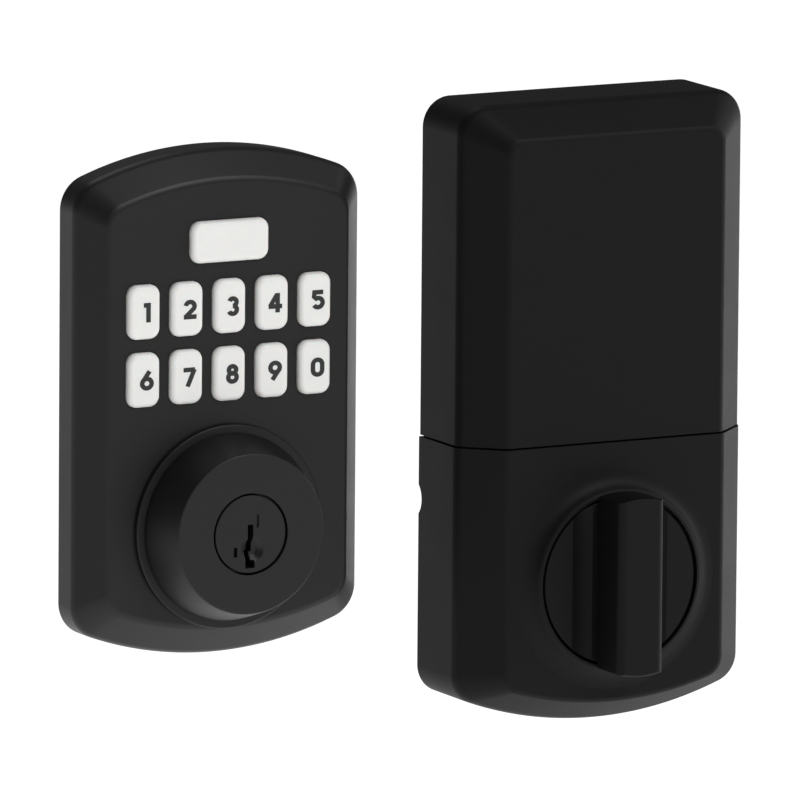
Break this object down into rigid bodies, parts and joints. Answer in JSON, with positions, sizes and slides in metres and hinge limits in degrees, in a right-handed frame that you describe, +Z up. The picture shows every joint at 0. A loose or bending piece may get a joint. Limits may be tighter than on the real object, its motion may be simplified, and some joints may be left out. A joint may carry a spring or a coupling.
{
  "type": "keypad smart lock",
  "caption": "Keypad deadbolt lock: arched outside plate with white keys and a key cylinder, and a tall inside unit with a thumbturn, gear train and battery cover.",
  "frame": {"origin": "key cylinder axis on the outside half's door face, midway between the two threaded posts", "axes": "+Z up, +X to the right seen from the front, both fronts face -Y and both door faces lie on Y = 0"},
  "size_m": [0.1679, 0.0982, 0.1457],
  "materials": {
    "painted_zinc": "matte black powder coat on cast zinc",
    "black_moulding": "fine matte black moulding",
    "gasket_rubber": "closed foam rubber",
    "mat_rubber": "translucent grey silicone",
    "board_green": "green solder mask on glass-epoxy board",
    "nylon": "natural nylon",
    "brass": "turned brass",
    "cell_jacket": "plain printed cell jacket",
    "key_white": "satin white moulded key",
    "steel": "zinc-plated steel"
  },
  "bodies": {
    "root": {"escutcheon": "painted_zinc", "rim_gasket": "gasket_rubber", "keypad_mat": "mat_rubber", "keypad_board": "board_green", "keypad_retainer": "black_moulding", "retainer_screws": "steel", "keypad_socket": "nylon", "cylinder_collar": "painted_zinc", "collar_nut": "steel", "cylinder_body": "painted_zinc", "driver_pins": "brass", "pin_springs": "steel", "threaded_posts": "steel", "lower_housing": "black_moulding", "mounting_plate": "steel", "chassis": "black_moulding", "chassis_screws": "steel", "housing_screws": "steel", "spindle_bushing": "brass", "idler_axle": "steel", "gear_motor": "steel", "gearbox_plate": "steel", "gearbox_screws": "steel", "control_board": "board_green", "board_screws": "steel", "buzzer": "black_moulding", "harness_socket": "nylon", "position_switch": "black_moulding", "battery_holder": "black_moulding", "aa_cells": "cell_jacket", "battery_springs": "steel", "battery_contacts": "steel", "program_switch": "black_moulding"},
    "key_1": {"key_1": "key_white"},
    "key_2": {"key_2": "key_white"},
    "key_3": {"key_3": "key_white"},
    "key_4": {"key_4": "key_white"},
    "key_5": {"key_5": "key_white"},
    "key_6": {"key_6": "key_white"},
    "key_7": {"key_7": "key_white"},
    "key_8": {"key_8": "key_white"},
    "key_9": {"key_9": "key_white"},
    "key_0": {"key_0": "key_white"},
    "lock_key": {"lock_key": "key_white"},
    "plug": {"key_plug": "painted_zinc", "plug_clip": "steel", "key_pins": "brass", "torque_blade": "steel"},
    "turn": {"thumbturn": "black_moulding", "turn_spindle": "steel", "spindle_clip": "steel", "main_gear": "nylon", "position_cam": "nylon"},
    "idler": {"idler_gear": "nylon"},
    "motor_rotor": {"motor_pinion": "brass", "motor_shaft": "steel"},
    "cover": {"battery_cover": "black_moulding"},
    "program_button": {"program_button": "key_white"}
  },
  "joints": [
    {"name": "press_1", "type": "slide", "parent": "root", "child": "key_1", "axis": [0, 1, 0], "range_m": [0, 0.001], "stiffness_N_per_m": 500, "springref_m": -0.002},
    {"name": "press_2", "type": "slide", "parent": "root", "child": "key_2", "axis": [0, 1, 0], "range_m": [0, 0.001], "stiffness_N_per_m": 500, "springref_m": -0.002},
    {"name": "press_3", "type": "slide", "parent": "root", "child": "key_3", "axis": [0, 1, 0], "range_m": [0, 0.001], "stiffness_N_per_m": 500, "springref_m": -0.002},
    {"name": "press_4", "type": "slide", "parent": "root", "child": "key_4", "axis": [0, 1, 0], "range_m": [0, 0.001], "stiffness_N_per_m": 500, "springref_m": -0.002},
    {"name": "press_5", "type": "slide", "parent": "root", "child": "key_5", "axis": [0, 1, 0], "range_m": [0, 0.001], "stiffness_N_per_m": 500, "springref_m": -0.002},
    {"name": "press_6", "type": "slide", "parent": "root", "child": "key_6", "axis": [0, 1, 0], "range_m": [0, 0.001], "stiffness_N_per_m": 500, "springref_m": -0.002},
    {"name": "press_7", "type": "slide", "parent": "root", "child": "key_7", "axis": [0, 1, 0], "range_m": [0, 0.001], "stiffness_N_per_m": 500, "springref_m": -0.002},
    {"name": "press_8", "type": "slide", "parent": "root", "child": "key_8", "axis": [0, 1, 0], "range_m": [0, 0.001], "stiffness_N_per_m": 500, "springref_m": -0.002},
    {"name": "press_9", "type": "slide", "parent": "root", "child": "key_9", "axis": [0, 1, 0], "range_m": [0, 0.001], "stiffness_N_per_m": 500, "springref_m": -0.002},
    {"name": "press_0", "type": "slide", "parent": "root", "child": "key_0", "axis": [0, 1, 0], "range_m": [0, 0.001], "stiffness_N_per_m": 500, "springref_m": -0.002},
    {"name": "press_lock", "type": "slide", "parent": "root", "child": "lock_key", "axis": [0, 1, 0], "range_m": [0, 0.001], "stiffness_N_per_m": 500, "springref_m": -0.002},
    {"name": "press_program", "type": "slide", "parent": "root", "child": "program_button", "axis": [0, 1, 0], "range_m": [0, 0.0008], "stiffness_N_per_m": 500, "springref_m": -0.002},
    {"name": "turn_key", "type": "hinge", "parent": "root", "child": "plug", "pos_m": [0, 0, 0], "axis": [0, 1, 0], "range_deg": [-90, 90]},
    {"name": "turn_thumb", "type": "hinge", "parent": "root", "child": "turn", "pos_m": [0.094, 0, -0.0174], "axis": [0, 1, 0], "range_deg": [-90, 90]},
    {"name": "idler_spin", "type": "hinge", "parent": "root", "child": "idler", "pos_m": [0.11204, 0, -0.02397], "axis": [0, 1, 0], "range_deg": [-270, 270]},
    {"name": "motor_spin", "type": "hinge", "parent": "root", "child": "motor_rotor", "pos_m": [0.11204, 0, -0.00797], "axis": [0, 1, 0], "range_deg": [-630, 630]},
    {"name": "slide_cover", "type": "slide", "parent": "root", "child": "cover", "axis": [0, 0, 1], "range_m": [0, 0.085]}
  ],
  "couplings": [
    {"joint": "idler_spin", "follows": "turn_thumb", "ratio": -3},
    {"joint": "motor_spin", "follows": "turn_thumb", "ratio": 7}
  ]
}
